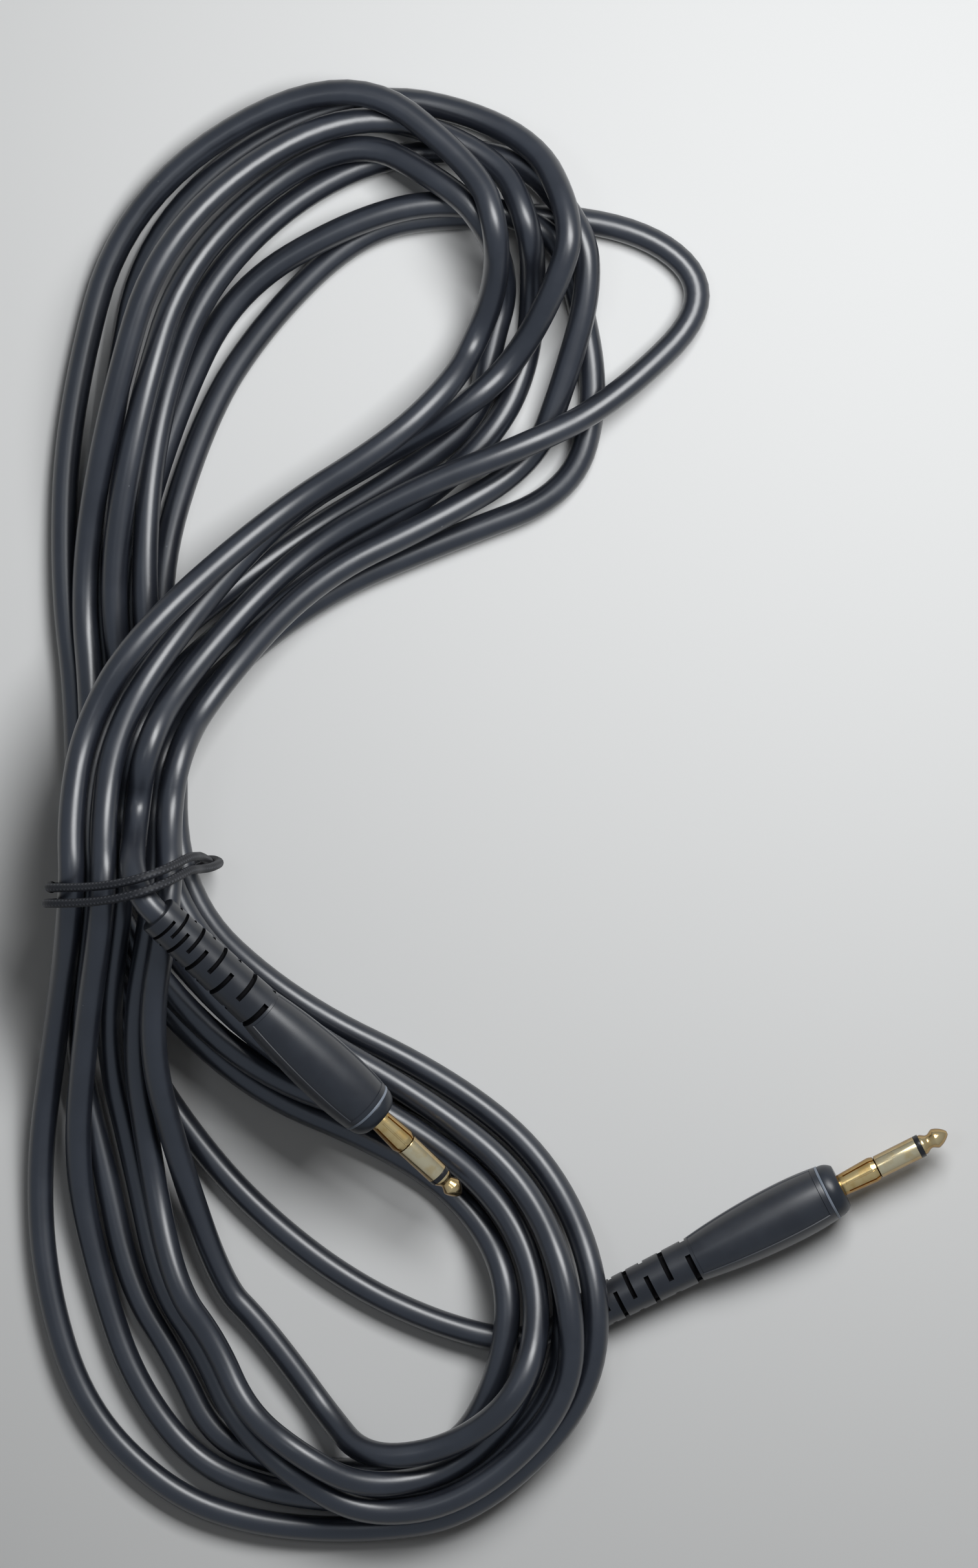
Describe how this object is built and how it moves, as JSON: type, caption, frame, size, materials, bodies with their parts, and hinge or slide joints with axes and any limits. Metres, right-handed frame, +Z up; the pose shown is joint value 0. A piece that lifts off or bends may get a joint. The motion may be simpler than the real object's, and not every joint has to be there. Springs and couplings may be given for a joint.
{
  "type": "instrument cable",
  "caption": "Long round instrument cable with a moulded phone plug on each end, folded in a figure of eight and held by an elastic tie.",
  "frame": {"origin": "centre of the footprint, on the surface that the cable lies on", "axes": "+Z up from the surface, +Y along the hank from the plugs' lobe to the far lobe, +X to the side that the free plug points to"},
  "size_m": [0.2464, 0.3914, 0.0599],
  "materials": {
    "jacket": "satin flexible jacket",
    "body_black": "matte moulded",
    "collar_grey": "satin blue-grey",
    "marker_grey": "satin pale grey",
    "black_plastic": "gloss black",
    "gold": "gold-plated, polished",
    "lug_metal": "plain stamped",
    "liner": "natural",
    "shield": "copper braid",
    "core_white": "natural",
    "conductor": "bare copper",
    "elastic": "woven elastic"
  },
  "bodies": {
    "root": {"plug_tip_a": "gold", "tip_insulator_a": "black_plastic", "plug_sleeve_a": "gold", "spring_sleeve_a": "gold", "front_collar_a": "collar_grey", "marker_ring_a": "marker_grey", "body_shell_a": "body_black", "strain_relief_a": "body_black", "inner_liner_a": "liner", "tip_solder_cup_a": "gold", "ground_lug_a": "lug_metal", "cable_jacket_end_a": "jacket", "cable_shield_end_a": "shield", "core_insulation_a": "core_white", "core_conductor_a": "conductor", "plug_tip_b": "gold", "tip_insulator_b": "black_plastic", "plug_sleeve_b": "gold", "spring_sleeve_b": "gold", "front_collar_b": "collar_grey", "marker_ring_b": "marker_grey", "body_shell_b": "body_black", "strain_relief_b": "body_black", "inner_liner_b": "liner", "tip_solder_cup_b": "gold", "ground_lug_b": "lug_metal", "cable_jacket_end_b": "jacket", "cable_shield_end_b": "shield", "core_insulation_b": "core_white", "core_conductor_b": "conductor", "cable_hank": "jacket", "cable_tail": "jacket", "cable_tie": "elastic", "tie_knot": "elastic"}
  },
  "joints": []
}
